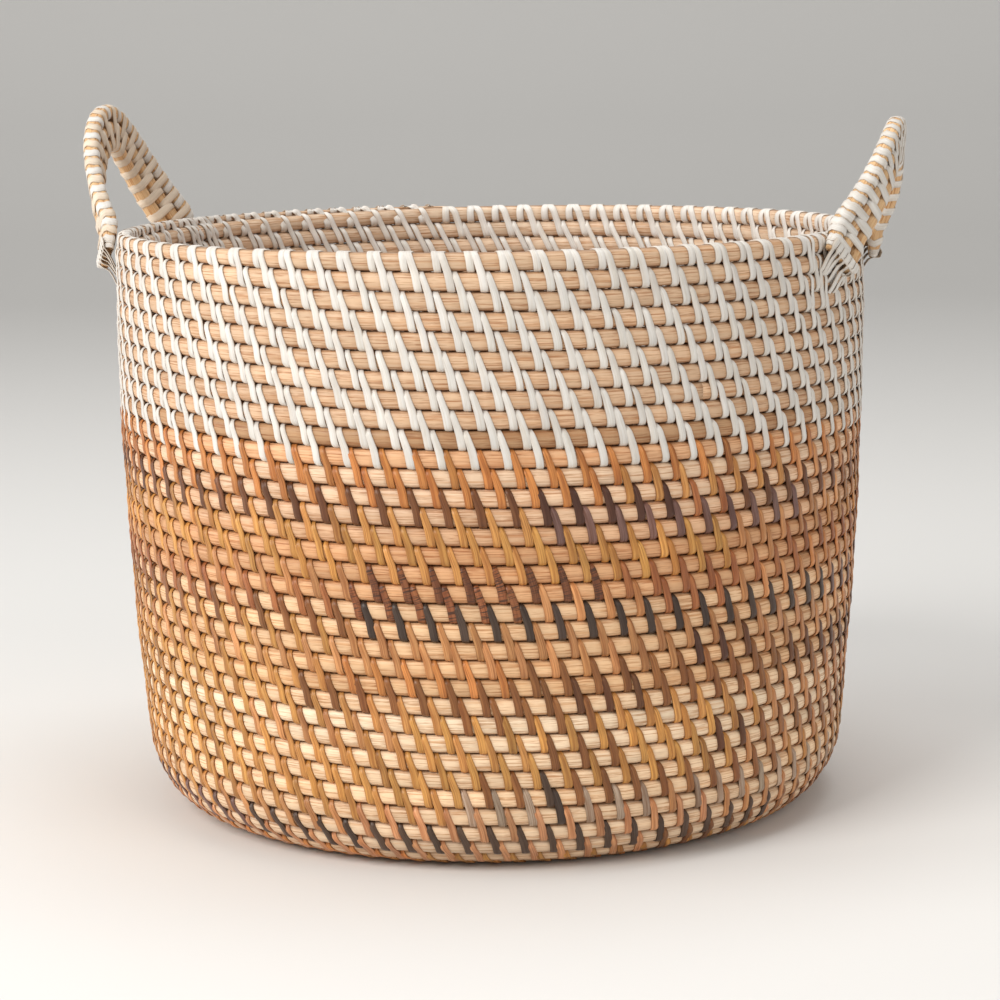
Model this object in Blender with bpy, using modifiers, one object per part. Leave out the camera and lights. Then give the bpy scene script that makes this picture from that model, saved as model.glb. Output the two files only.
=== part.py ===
"""Coiled rattan basket with two lashed loop handles. Metres, +Z up.

Origin: centre of the base, on the floor. +X points to the right handle, -X to the left handle.
The wall and base are one spiral of cane, cut into lengths that are spliced end to end.
"""
import bpy
from bisect import bisect_left
from math import atan2, ceil, cos, hypot, pi, sin, sqrt, tan
from mathutils import Vector

# Basket shell: outer sizes
RIM_RADIUS = 0.200
HEIGHT = 0.309              # floor to the top of the rim
FOOT_RADIUS = 0.190         # outer radius where the wall starts to turn under
BULGE = 0.0037              # how far the wall swells past a straight line at mid height
CORNER_RISE = 0.043         # height of the rounded corner
CORNER_REACH = 0.0345       # how far the corner runs in under the wall

# Core cane
CANE = 0.0091
GAP = 0.0003                # clearance between pieces that touch
TURNS = 50                  # from the centre of the base to the rim
STEPS = 24                  # points on each turn
FIRST_TURN = 0.5            # where the cane starts, tapered, against the centre knot
START_TAPER = 2 / 24        # the part of that first turn that is too thin to keep
RIM_TAPER_TURN = 0.69       # how far round the last, tapering turn runs
CORNER_FULLNESS = 0.87      # canes are squeezed where neighbours lean towards each other
BASE_SPLICES = (7, 12)      # turns at which a base cane ends and the next one starts
BASE_TURNS = 16
WALL_CANES = 8
RIM_START = 47

# Handles
HANDLE_CANE = 0.0080
HANDLE_PITCH = 0.0086       # spacing of the three canes side by side
HANDLE_HALF_SPAN = 0.0557   # of the middle cane
HANDLE_RISES = {"right": 0.0505, "left": 0.0597}    # of the middle cane, from its lowest level to the crown
HANDLE_SINK = 0.0072        # how far that level lies below the rim
ARCH_POWER = 2.64           # above 2 the legs splay out towards the rim
ARCH_START = 0.30           # angle at which the arch ends and a straight foot starts
HANDLE_RADIUS = 0.2053      # of the middle cane at rim height
LEAN_OUT = (0.0238, -0.0118)    # how the radius grows with height: linear and square part
LEAN_TWIST = (-0.23, 0.32)      # roll of the strap at the rim, and its change up to the crown
FOOT_LENGTH = 0.012
FOOT_TAPER = 0.55           # thickness left at the shaved end of a foot
ARCH_STEPS = 16
FOOT_STEPS = 3

# Flat binding strips
STRIP = 0.0010              # thickness
STRIP_WIDTH = 0.0036
BINDING_PITCH = 0.0092
LASHING_PITCH = 0.0052
STRIP_SIDES = 8             # straight runs in one turn of a strip

COLOURS = {
    "pale_cane": (0.62, 0.44, 0.25),
    "honey_cane": (0.50, 0.28, 0.11),
    "bleached_strip": (0.80, 0.76, 0.69),
}


def clear_scene():
    for obj in list(bpy.data.objects):
        bpy.data.objects.remove(obj, do_unlink=True)


def make_material(name):
    material = bpy.data.materials.new(name)
    material.use_nodes = True
    shader = material.node_tree.nodes["Principled BSDF"]
    shader.inputs["Base Color"].default_value = (*COLOURS[name], 1.0)
    shader.inputs["Roughness"].default_value = 0.45
    shader.inputs["Metallic"].default_value = 0.0
    return material


def wall_radius(z):
    """Outer radius of the wall at height z."""
    t = (HEIGHT - z) / (HEIGHT - CORNER_RISE)
    return RIM_RADIUS + (FOOT_RADIUS - RIM_RADIUS) * t + BULGE * 4 * t * (1 - t)


def make_profile(samples=400):
    """The line through the cane centres from the rim, down the wall and in to the base centre."""
    half = CANE / 2
    points = []
    for i in range(samples):
        z = HEIGHT - half + (CORNER_RISE - HEIGHT + half) * i / samples
        points.append((wall_radius(z) - half, z))
    centre = FOOT_RADIUS - CORNER_REACH
    for i in range(samples):
        angle = pi / 2 * i / samples
        radius = centre + (CORNER_REACH - half) * cos(angle)
        points.append((radius, CORNER_RISE - (CORNER_RISE - half) * sin(angle)))
    points += [(centre, half), (0.0, half)]
    lengths = [0.0]
    for (r0, z0), (r1, z1) in zip(points, points[1:]):
        lengths.append(lengths[-1] + hypot(r1 - r0, z1 - z0))
    return points, lengths


PROFILE, PROFILE_LENGTHS = make_profile()
PITCH = PROFILE_LENGTHS[-1] / TURNS
KNOT_RADIUS = (FIRST_TURN + 0.5) * PITCH


def on_profile(turn):
    """Radius, height and downward slope angle of the profile at a turn counted from the centre."""
    s = min(max((TURNS - turn) * PITCH, 0.0), PROFILE_LENGTHS[-1])
    i = min(max(bisect_left(PROFILE_LENGTHS, s), 1), len(PROFILE) - 1)
    (r0, z0), (r1, z1) = PROFILE[i - 1], PROFILE[i]
    share = (s - PROFILE_LENGTHS[i - 1]) / (PROFILE_LENGTHS[i] - PROFILE_LENGTHS[i - 1])
    return r0 + (r1 - r0) * share, z0 + (z1 - z0) * share, atan2(r0 - r1, z0 - z1)


def climb(winding):
    """Turns gained at a winding in whole turns: nearly level at the +X side, steepest at the -X side."""
    angle = 2 * pi * winding
    return (1.5 * angle - 2 * sin(angle) + sin(2 * angle) / 4) / (3 * pi)


def new_object(name, data, material, parts):
    obj = bpy.data.objects.new(name, data)
    obj.data.materials.append(material)
    parts.objects.link(obj)
    return obj


def poly_curve(name, points, tilts=None, radii=None):
    curve = bpy.data.curves.new(name, "CURVE")
    curve.dimensions = "3D"
    curve.twist_mode = "Z_UP"
    curve.use_fill_caps = True
    spline = curve.splines.new("POLY")
    spline.points.add(len(points) - 1)
    for i, (spot, point) in enumerate(zip(spline.points, points)):
        spot.co = (*point, 1.0)
        spot.tilt = tilts[i] if tilts else 0.0
        spot.radius = radii[i] if radii else 1.0
    return curve


def make_section(name, corners, guides):
    """A closed outline for canes. Its X is across the wall and its Y points to the next turn."""
    curve = bpy.data.curves.new(name, "CURVE")
    curve.dimensions = "2D"
    curve.fill_mode = "NONE"
    spline = curve.splines.new("POLY")
    spline.points.add(len(corners) - 1)
    spline.use_cyclic_u = True
    for spot, (x, y) in zip(spline.points, corners):
        spot.co = (x, y, 0.0, 1.0)
    obj = bpy.data.objects.new(name, curve)
    obj.hide_render = True
    obj.display_type = "WIRE"
    guides.objects.link(obj)
    return obj


def coil_point(winding):
    """Centre, section tilt and fullness of the cane at a winding counted in turns from the centre."""
    turn = climb(winding)
    fullness = 1.0
    if turn > TURNS:
        fullness = 1.0 - (turn - TURNS)
        radius, height, slope = RIM_RADIUS - CANE / 2, HEIGHT - CANE * fullness / 2, 0.0
    elif turn < FIRST_TURN + 1:
        fullness = turn - FIRST_TURN
        radius, height, slope = KNOT_RADIUS + PITCH * fullness / 2, CANE / 2, pi / 2
    else:
        radius, height, slope = on_profile(turn)
        if CANE / 2 < height < CORNER_RISE:
            fullness = CORNER_FULLNESS
    azimuth = -2 * pi * winding
    return Vector((radius * cos(azimuth), radius * sin(azimuth), height)), slope, fullness


def make_coil(name, first, last, section, material, parts):
    """One length of the spiral, from winding first to winding last."""
    windings = [i / STEPS for i in range(round(first * STEPS), round(last * STEPS) + 1)]
    # the ends are cut square to their straight runs, so they need room to meet at an angle
    trim = (CANE / 2 * tan(pi / STEPS) + GAP) / (2 * pi)
    windings[0] += trim / coil_point(first)[0].xy.length
    windings[-1] -= trim / coil_point(last)[0].xy.length
    spots = [coil_point(winding) for winding in windings]
    points, tilts, radii = zip(*spots)
    curve = poly_curve(name, points, tilts, radii)
    curve.bevel_mode = "OBJECT"
    curve.bevel_object = section
    return new_object(name, curve, material, parts)


def make_coils(materials, parts, guides):
    half = (PITCH - GAP) / 2
    corners = [(half, -half), (-half, -half), (-half, half), (half, half)]
    square = make_section("base_section", corners, guides)
    outer, flat = CANE / 2, CANE / 4
    corners = [(flat, -half), (-flat, -half), (-outer, 0), (-flat, half), (flat, half), (outer, 0)]
    hexagon = make_section("wall_section", corners, guides)
    edges = [FIRST_TURN + START_TAPER, *BASE_SPLICES, BASE_TURNS]
    for number, (first, last) in enumerate(zip(edges, edges[1:]), 1):
        make_coil(f"base_cane_{number:02d}", first, last, square, materials["pale_cane"], parts)
    span = (RIM_START - BASE_TURNS) / WALL_CANES
    edges = [round((BASE_TURNS + span * i) * STEPS) / STEPS for i in range(WALL_CANES + 1)]
    for number, (first, last) in enumerate(zip(edges, edges[1:]), 1):
        make_coil(f"wall_cane_{number:02d}", first, last, hexagon, materials["honey_cane"], parts)
    make_coil("rim_cane", RIM_START, TURNS + RIM_TAPER_TURN, hexagon, materials["pale_cane"], parts)


def make_centre_knot(material, parts):
    """A flat-faced disc that the first turn is wound round."""
    radius = KNOT_RADIUS - GAP
    edge = 0.0012
    outline = [(0.0, CANE), (radius - edge, CANE), (radius, CANE - edge),
               (radius, edge), (radius - edge, 0.0), (0.0, 0.0)]
    mesh = bpy.data.meshes.new("base_centre_knot")
    mesh.from_pydata([(x, 0.0, z) for x, z in outline], [(i, i + 1) for i in range(len(outline) - 1)], [])
    obj = new_object("base_centre_knot", mesh, material, parts)
    screw = obj.modifiers.new("turn", "SCREW")
    screw.steps = screw.render_steps = 24
    screw.use_merge_vertices = True
    screw.merge_threshold = 0.00001
    return obj


def strap_frame(rise, offset, angle, along_foot=0.0):
    """Tangential and upward place of a handle cane at an angle round its arch.

    offset is the cane's distance from the middle cane, along_foot how far down the straight foot.
    """
    side = 1 if cos(angle) > 0 else -1
    u = HANDLE_HALF_SPAN * cos(angle)
    w = rise * sin(angle) ** ARCH_POWER - HANDLE_SINK
    slope_u = -HANDLE_HALF_SPAN * sin(angle)
    slope_w = rise * ARCH_POWER * sin(angle) ** (ARCH_POWER - 1) * cos(angle)
    length = hypot(slope_u, slope_w)
    du, dw = slope_u / length, slope_w / length
    u += dw * offset - side * du * along_foot
    w += -du * offset - side * dw * along_foot
    return u, w


def clear_of_wall(radius, height, thickness):
    """Pushes a cane of this thickness outwards until it and a strip round it clear the rim and wall."""
    room = thickness / 2 + STRIP + 4 * GAP
    centre = HEIGHT - CANE / 2
    if height < centre:
        return max(radius, wall_radius(height) + room)
    reach = CANE / 2 + room
    drop = height - centre
    return max(radius, RIM_RADIUS - CANE / 2 + sqrt(max(reach ** 2 - drop ** 2, 0.0)))


def strap_point(rise, offset, angle, along_foot=0.0, thickness=HANDLE_CANE):
    """Place of a handle cane's centre, for a handle on the +X side."""
    u, w = strap_frame(rise, offset, angle, along_foot)
    middle_w = strap_frame(rise, 0.0, angle, along_foot)[1]
    share = min(max(middle_w / (rise - HANDLE_SINK), 0.0), 1.0)
    twist = LEAN_TWIST[0] + LEAN_TWIST[1] * share
    radius = HANDLE_RADIUS + LEAN_OUT[0] * share + LEAN_OUT[1] * share ** 2 + offset * sin(twist)
    radius = clear_of_wall(radius, HEIGHT + w, thickness)
    azimuth = u / HANDLE_RADIUS
    return Vector((radius * cos(azimuth), radius * sin(azimuth), HEIGHT + w))


def strap_stations():
    """(angle, distance down the foot) from the end of one foot, over the arch, to the other's end."""
    feet = [FOOT_LENGTH * (FOOT_STEPS - i) / FOOT_STEPS for i in range(FOOT_STEPS)]
    angles = [ARCH_START + (pi - 2 * ARCH_START) * i / ARCH_STEPS for i in range(ARCH_STEPS + 1)]
    front = [(ARCH_START, d) for d in feet]
    back = [(pi - ARCH_START, d) for d in reversed(feet)]
    return front + [(a, 0.0) for a in angles] + back


def mirrored(point, side):
    """Handles face each other: the left one is made on the +X side and turned half a turn about Z."""
    return Vector((side * point.x, side * point.y, point.z))


def make_handle_canes(side_name, side, material, parts):
    for cane_name, offset in (("outer", HANDLE_PITCH), ("middle", 0.0), ("inner", -HANDLE_PITCH)):
        points, radii = [], []
        for angle, foot in strap_stations():
            share = foot_share(foot)
            point = strap_point(HANDLE_RISES[side_name], offset, angle, foot, HANDLE_CANE * share)
            points.append(mirrored(point, side))
            radii.append(share)
        name = f"handle_{side_name}_{cane_name}_cane"
        curve = poly_curve(name, points, radii=radii)
        curve.bevel_depth = HANDLE_CANE / 2
        curve.bevel_resolution = 2
        new_object(name, curve, material, parts)


def foot_share(foot):
    """Share of the full cane thickness left at a distance down the foot."""
    return 1 - (1 - FOOT_TAPER) * foot / FOOT_LENGTH


def strap_axes(rise, angle, foot):
    """Centre of the strap of three canes, its across, face and along directions, and half its thickness."""
    thickness = HANDLE_CANE * foot_share(foot)
    middle, outer, inner = (strap_point(rise, k * HANDLE_PITCH, angle, foot, thickness) for k in (0, 1, -1))
    centre = (outer + inner) / 2
    across = (outer - inner) / 2
    if foot:
        along = strap_point(rise, 0.0, angle, foot - 0.001, thickness) - middle
    else:
        along = strap_point(rise, 0.0, angle + 0.02) - strap_point(rise, 0.0, angle - 0.02)
    along = (along - across * along.dot(across) / across.length_squared).normalized()
    face = across.cross(along).normalized()
    return centre, across, face, along, thickness / 2 + abs((middle - centre).dot(face))


def make_ribbon(name, rows, material, parts):
    """A strip of thickness STRIP on a row of edge pairs, thickened away from what it is wound round."""
    verts = [point for pair in rows for point in pair]
    faces = [(2 * i, 2 * i + 1, 2 * i + 3, 2 * i + 2) for i in range(len(rows) - 1)]
    mesh = bpy.data.meshes.new(name)
    mesh.from_pydata(verts, [], faces)
    obj = new_object(name, mesh, material, parts)
    solidify = obj.modifiers.new("thickness", "SOLIDIFY")
    solidify.thickness = STRIP
    solidify.offset = 1.0
    solidify.use_even_offset = False
    return obj


def wind_strip(name, stations, pitch, rise, side, material, parts):
    """Winds a strip round the three canes, along stations of (angle, distance down the foot)."""
    axes = [strap_axes(rise, *station) for station in stations]
    travelled = [0.0]
    for before, after in zip(axes, axes[1:]):
        travelled.append(travelled[-1] + (after[0] - before[0]).length)
    corners = ceil(travelled[-1] / pitch) * STRIP_SIDES
    rows = []
    for corner in range(corners + 1):
        s = travelled[-1] * corner / corners
        i = min(max(bisect_left(travelled, s), 1), len(axes) - 1)
        share = (s - travelled[i - 1]) / (travelled[i] - travelled[i - 1])
        centre, across, face, along = (a.lerp(b, share) for a, b in zip(axes[i - 1][:4], axes[i][:4]))
        cane = axes[i - 1][4] + (axes[i][4] - axes[i - 1][4]) * share
        round_by = 2 * pi * (corner + 0.5) / STRIP_SIDES
        # the strip runs flat over both faces and round the two outer canes
        out = (cane + 2 * GAP) / cos(pi / STRIP_SIDES)
        flat = across * (1 if cos(round_by) > 0 else -1)
        place = centre + flat + across.normalized() * out * cos(round_by) + face * out * sin(round_by)
        half_width = along * STRIP_WIDTH / 2
        rows.append((mirrored(place - half_width, side), mirrored(place + half_width, side)))
    return make_ribbon(name, rows, material, parts)


def make_bindings(side_name, side, material, parts):
    count = 40
    trim = 0.20             # the binding starts a little above each foot
    first, last = ARCH_START + trim, pi - ARCH_START - trim
    arch = [(first + (last - first) * i / count, 0.0) for i in range(count + 1)]
    rise = HANDLE_RISES[side_name]
    wind_strip(f"handle_{side_name}_binding", arch, BINDING_PITCH, rise, side, material, parts)
    for end_name, angle in (("front", ARCH_START), ("back", pi - ARCH_START)):
        foot = [(angle, FOOT_LENGTH * (0.90 - 0.75 * i / count)) for i in range(count + 1)]
        wind_strip(f"foot_lashing_{side_name}_{end_name}", foot, LASHING_PITCH, rise, side, material, parts)


def main():
    clear_scene()
    parts = bpy.data.collections.new("wicker_basket")
    guides = bpy.data.collections.new("sections")
    for collection in (parts, guides):
        bpy.context.scene.collection.children.link(collection)
    materials = {name: make_material(name) for name in COLOURS}
    make_centre_knot(materials["pale_cane"], parts)
    make_coils(materials, parts, guides)
    for side_name, side in (("right", 1), ("left", -1)):
        make_handle_canes(side_name, side, materials["pale_cane"], parts)
        make_bindings(side_name, side, materials["bleached_strip"], parts)


main()
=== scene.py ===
"""Looks of the coiled rattan basket: round core canes, peel stitches, rim wraps and lashed handles.

Metres, +Z up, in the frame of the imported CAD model. The core canes follow the CAD spiral. Flat strips of
rattan peel cross two coils each, one after another along the whole spiral, on both faces of the wall.
"""

import bpy
import numpy as np
from mathutils import Matrix, Vector


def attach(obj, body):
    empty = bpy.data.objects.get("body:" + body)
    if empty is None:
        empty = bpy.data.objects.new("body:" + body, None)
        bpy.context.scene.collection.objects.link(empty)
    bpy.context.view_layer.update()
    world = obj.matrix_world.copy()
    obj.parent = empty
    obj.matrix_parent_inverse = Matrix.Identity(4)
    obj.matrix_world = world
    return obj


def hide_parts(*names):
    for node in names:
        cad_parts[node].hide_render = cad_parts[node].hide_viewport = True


MM = 0.001

# Shell and spiral, as in the CAD model
RIM_RADIUS = 0.200
HEIGHT = 0.309
FOOT_RADIUS = 0.190
BULGE = 0.0037
CORNER_RISE = 0.043
CORNER_REACH = 0.0345
CANE = 0.0091
TURNS = 50
FIRST_TURN = 0.5
START_WINDING = 0.5 + 2 / 24
END_WINDING = 50.69
BASE_SPLICES = (7, 12)
BASE_TURNS = 16
WALL_CANES = 8
RIM_START = 47
CAD_STEPS = 24

# Round canes as they show
SKIN = 0.5 * MM             # canes lie this much inside the CAD wall, so that stitches end at its surface
RIM_DROP = 0.9 * MM         # room for the wraps over the rim
WALL_HALF = 4.60 * MM       # half thickness of a wall cane
BASE_HALF = 4.10 * MM       # base canes are flattened, so that stitches pass under them
COIL_FILL = 0.985           # share of the pitch that a cane takes up, the rest is the seam
CANE_SIDES = 16
SQUARENESS = 2.7            # exponent of a cane's section: 2 is round, above that its faces are flatter
PINCH = 0.055               # how much a stitch squeezes the cane under it
SMALLEST_SHARE = 0.05       # of full size, at the tapered ends of the spiral
WOBBLE = 0.22 * MM          # unevenness of the coils, made by hand
WOBBLE_WAVES = ((1.0, 19.3, 0.0), (1.0, 45.1, 1.0), (0.6, 131.7, 2.0))      # share, radians a turn, start

# Painted shade and painted light on canes and strips, as factors of red, green and blue
PAINTED_SEAM_SHADE = (0.28, 0.14, 0.06)      # painted shade on a cane at its lower edge, where it meets the next one
SEAM_SHADE_FADES = ((0.66, 0.30), (0.86, 0.14))   # lower and upper edge: where the shade starts, and its reach
UPPER_SEAM_SHADE = 0.6                    # how dark the painted shade at the upper edge gets, as a share of the lower one
UNDER_STITCH_SHADE = (0.78, 0.68, 0.58)      # painted shade on a cane where a stitch crosses it
INSIDE_PAINTED_LIGHT = (1.16, 1.28, 1.42)    # painted light: a cane's faces inside the basket are made paler
STRIP_EDGE_SHADE = (0.50, 0.40, 0.31)      # painted shade on a strip at the bottom of its sides, where it lies on the cane
INSIDE_WHITE_PAINTED_LIGHT = 1.13                 # painted light: white strips are made brighter inside

# Stitches
STITCHES = 79.595           # per turn: the fraction sets how far each row leans from the one above
STITCH_SHIFT = 0.335        # sideways run of a stitch on the outer face, in stitch spacings
STITCH_CURVE = 1.7          # exponent of that run: above 1 it is quickest at the top
STEEP_SHIFT = 0.12          # sideways run of the extra stitches beside the handles
STRIP = 0.68 * MM           # thickness of the strips
SUNK = -0.05 * MM           # strips are pressed this much into the canes
RAISED = 0.15 * MM          # extra stitches lie over the others
DIP = 0.38 * MM             # sag of a stitch between its two coils
WHITE_START = 40.75         # winding where the white stitches begin
BASE_END = 12.55            # winding where the base's wider stitch spacing ends
FIRST_STITCH = 1.6          # winding of the first one, at the centre of the base
BASE_STEPS = (12.5, 6.5, 3.0)       # turns from which all, half and a quarter of the stitches fit
BASE_SHARES = (1.0, 0.5, 0.25)
CENTRE_SHARE = 0.125
EXTRA_ZONE = (12, 21)       # degrees from the handles' axis where extra stitches are
EXTRA_COILS = 3             # from the top
STRIP_STEP = (0.0371, 0.0137)   # metres that the grain moves on, along and across, from strip to strip
BANDS = (1.0, 6.5, 12.55, 16, 19, 22, 25, 28, 31, 34, 37, 40.76, 44, 47, 50.7)   # windings between pieces

# Widths of strips, in millimetres
STITCH_WIDTHS = (2.75, 1.2)     # outside: where one comes out of the wall, and what it gains further down
INSIDE_WIDTH = 3.3
EXTRA_WIDTH = 2.7
LONG_INSIDE_WIDTH = 4.1
SHORT_WIDTHS = {"outside": 3.7, "inside": 4.3}
HANDLE_WIDTHS = {"short": 4.3, "long": 4.6, "inner": 5.0}
LASHING_WIDTH = 3.5
TIE_WIDTH = 3.8
KNOT_WIDTHS = (1.5, 1.6)
KNOT_STRIP = 0.7 * MM

# Handles, as in the CAD model
HANDLE_CANE = 0.0080
HANDLE_PITCH = 0.0086
HANDLE_HALF_SPAN = 0.0557
HANDLE_RISES = {"right": 0.0505, "left": 0.0597}
HANDLE_SINK = 0.0072
ARCH_POWER = 2.64
ARCH_START = 0.30
HANDLE_RADIUS = 0.2053
LEAN_OUT = (0.0238, -0.0118)
LEAN_TWIST = (-0.23, 0.32)
FOOT_LENGTH = 0.012
FOOT_TAPER = 0.55

# Binding of the handles
WRAP_PITCH = 10.9 * MM
WRAP_RUNS = (3.0 * MM, 2.4 * MM)    # how far a wrap moves along the handle, over its front and its back
HANDLE_FIT = {"cane": 0.97, "wrap": 0.95, "lashing": 0.97}      # shares of the CAD cane's radius
COLLAR = 0.5                # of the foot's length
COLLAR_STRIPS = 2
TIES = 6

# Camera, fitted to the rim and the outline. Lengths are in rim radii.
CAMERA_DISTANCE = 7.57
CAMERA_HEIGHT = 0.4774
CAMERA_PITCH = 0.1612
CAMERA_YAW = 0.0026
CAMERA_ROLL = 0.0134
CAMERA_LENS = 100.9         # millimetres, on a sensor 36 mm wide
CAMERA_TURN = np.radians(14.2)

# Soft studio light: place, size, watts and colour of each lamp
LIT_POINT = (0, 0, 0.15)
LIGHTS = {
    "key": ((-1.2, -2.2, 2.0), 1.6, 59, (1.0, 0.985, 0.96)),
    "fill": ((2.4, -1.6, 1.6), 2.0, 19, (1.0, 0.98, 0.95)),
    "side": ((-2.6, -0.9, 0.8), 1.4, 30, (1.0, 0.985, 0.97)),
    "top": ((0.2, 0.3, 2.6), 1.6, 24, (1.0, 1.0, 1.0)),
}
SKY_COLOUR = (1.0, 0.99, 0.975, 1.0)
SKY_STRENGTH = 0.36

rng = np.random.default_rng(7)


def srgb(red, green, blue):
    """Linear colour of an 8-bit sRGB one."""
    c = np.array([red, green, blue]) / 255
    return np.where(c <= 0.04045, c / 12.92, ((c + 0.055) / 1.055) ** 2.4)


PEEL = {
    "white": srgb(226, 222, 216),
    "orange": srgb(206, 136, 74),
    "honey": srgb(209, 150, 84),
    "gold": srgb(210, 153, 82),
    "tan": srgb(203, 144, 92),
    "rust": srgb(170, 106, 62),
    "brown": srgb(150, 98, 54),
    "umber": srgb(116, 73, 42),
    "maroon": srgb(88, 54, 38),
    "mauve": srgb(124, 92, 84),
    "slate": srgb(82, 66, 56),
    "charcoal": srgb(90, 70, 56),
    "silver": srgb(188, 164, 142),
    "apricot": srgb(214, 154, 108),
    "ribbed": srgb(150, 92, 56),
}
# Colours of the runs behind, as often as they are listed
COMMON = ("honey", "gold", "tan", "orange", "brown", "honey", "tan", "apricot", "rust", "umber")

RUN_LENGTHS = (9, 24)       # stitches made from one strip
DRIFT_POWER = {"white": 0.2, "brown": 1.0}      # how much of a run's own tone a stitch takes on
TONE_SPREAD = {"white": 0.02, "brown": 0.12}    # from stitch to stitch
RIBBED_ALPHA = 0.15         # a tint's alpha on ribbed strips: the lower, the stronger the ribs

# Stitch colours in front, by the coil a stitch starts on, counted from the rim. Each run starts at
# an azimuth in degrees and lasts to the next one.
PLAN_END = 14
ROWS = {
    10: ((-180, "orange"),),
    11: ((-180, "orange"), (-62, "honey"), (-30, "tan")),
    12: ((-180, "umber"), (-72, "maroon"), (-47, "rust"), (-39, "umber"), (-14, "brown")),
    13: ((-180, "honey"), (-70, "mauve"), (-26, "tan")),
    14: ((-180, "gold"), (-40, "tan"), (-20, "honey")),
    15: ((-180, "gold"), (-96, "honey"), (-70, "gold"), (-40, "tan"), (-28, "rust")),
    16: ((-180, "tan"), (-96, "ribbed"), (-58, "rust"), (-25, "orange")),
    17: ((-180, "rust"), (-98, "ribbed"), (-70, "tan"), (-55, "rust"), (-38, "tan")),
    18: ((-180, "brown"), (-96, "slate"), (-14, "mauve")),
    19: ((-180, "gold"), (-100, "tan"), (-34, "apricot"), (-20, "tan")),
    20: ((-180, "tan"), (-50, "maroon"), (-40, "umber"), (-33, "tan")),
    21: ((-180, "gold"), (-112, "honey"), (-100, "orange"), (-74, "brown"), (-30, "umber")),
    22: ((-180, "gold"), (-110, "brown"), (-66, "umber"), (-52, "brown")),
    23: ((-180, "gold"), (-104, "honey"), (-84, "brown"), (-60, "honey"), (-40, "tan")),
    24: ((-180, "gold"), (-118, "tan"), (-90, "gold"), (-30, "tan")),
    25: ((-180, "gold"), (-110, "honey"), (-70, "brown"), (-55, "gold"), (-43, "umber"), (-35, "brown")),
    26: ((-180, "gold"), (-128, "honey"), (-100, "gold"), (-35, "tan")),
    27: ((-180, "gold"), (-80, "brown"), (-71, "charcoal"), (-68, "brown"), (-28, "honey")),
    28: ((-180, "honey"), (-84, "silver"), (-69, "slate"), (-64, "silver"), (-50, "tan"), (-47, "silver")),
    29: ((-180, "honey"), (-126, "tan"), (-100, "apricot"), (-40, "tan")),
    30: ((-180, "mauve"), (-120, "charcoal"), (-24, "brown")),
    31: ((-180, "apricot"), (-50, "brown"), (-30, "apricot")),
}

# Core cane tones by coil from the rim
CORE = {
    0: srgb(220, 187, 154),
    8: srgb(216, 180, 146),
    9: srgb(190, 150, 112),
    10: srgb(224, 176, 134),
    11: srgb(237, 205, 173),
    13: srgb(228, 191, 157),
    15: srgb(216, 165, 121),
    17: srgb(220, 172, 128),
    18: srgb(235, 197, 156),
    22: srgb(233, 191, 146),
    24: srgb(249, 224, 192),
    28: srgb(244, 210, 171),
    31: srgb(234, 206, 174),
    34: srgb(214, 182, 146),
    50: srgb(214, 178, 138),
}
HANDLE_TONE = srgb(222, 184, 138)
# painted shade: warm beige for the wraps on the shaded side of the left handle, as warm bounce light gives
SHADED_BOUNCE_WHITE = srgb(228, 212, 192)


# ---- spiral

def wall_radius(z):
    t = (HEIGHT - z) / (HEIGHT - CORNER_RISE)
    return RIM_RADIUS + (FOOT_RADIUS - RIM_RADIUS) * t + BULGE * 4 * t * (1 - t)


def make_profile(samples=400, base_samples=100):
    """Radius, height and length along the line through the cane centres, from the rim to the base centre."""
    half = CANE / 2
    share = np.arange(samples) / samples
    wall_z = HEIGHT - half + (CORNER_RISE - HEIGHT + half) * share
    centre = FOOT_RADIUS - CORNER_REACH
    angle = np.pi / 2 * share
    corner_r = centre + (CORNER_REACH - half) * np.cos(angle)
    corner_z = CORNER_RISE - (CORNER_RISE - half) * np.sin(angle)
    base_r = np.linspace(centre, 0.0, base_samples)
    r = np.concatenate([wall_radius(wall_z) - half, corner_r, base_r])
    z = np.concatenate([wall_z, corner_z, np.full(base_samples, half)])
    lengths = np.concatenate([[0.0], np.cumsum(np.hypot(np.diff(r), np.diff(z)))])
    return r, z, lengths


PROFILE_R, PROFILE_Z, PROFILE_S = make_profile()
PROFILE_SLOPE = np.arctan2(-np.gradient(PROFILE_R, PROFILE_S), -np.gradient(PROFILE_Z, PROFILE_S))
PITCH = PROFILE_S[-1] / TURNS
KNOT_RADIUS = (FIRST_TURN + 0.5) * PITCH


def climb(winding):
    """Turns gained at a winding: nearly level at the +X side, steepest at the -X side."""
    angle = 2 * np.pi * winding
    return (1.5 * angle - 2 * np.sin(angle) + np.sin(2 * angle) / 4) / (3 * np.pi)


def vectors(azimuth, radial, up):
    """3D vectors from radial and upward parts at an azimuth."""
    return np.stack([radial * np.cos(azimuth), radial * np.sin(azimuth), up], axis=-1)


def section(theta):
    """Place on a cane's section, as shares of its half sizes, and the direction out of it there."""
    place = np.stack([np.cos(theta), np.sin(theta)])
    place = np.sign(place) * np.abs(place) ** (2 / SQUARENESS)
    out = np.sign(place) * np.abs(place) ** (SQUARENESS - 1)
    return place, out / np.linalg.norm(out, axis=0)


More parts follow.
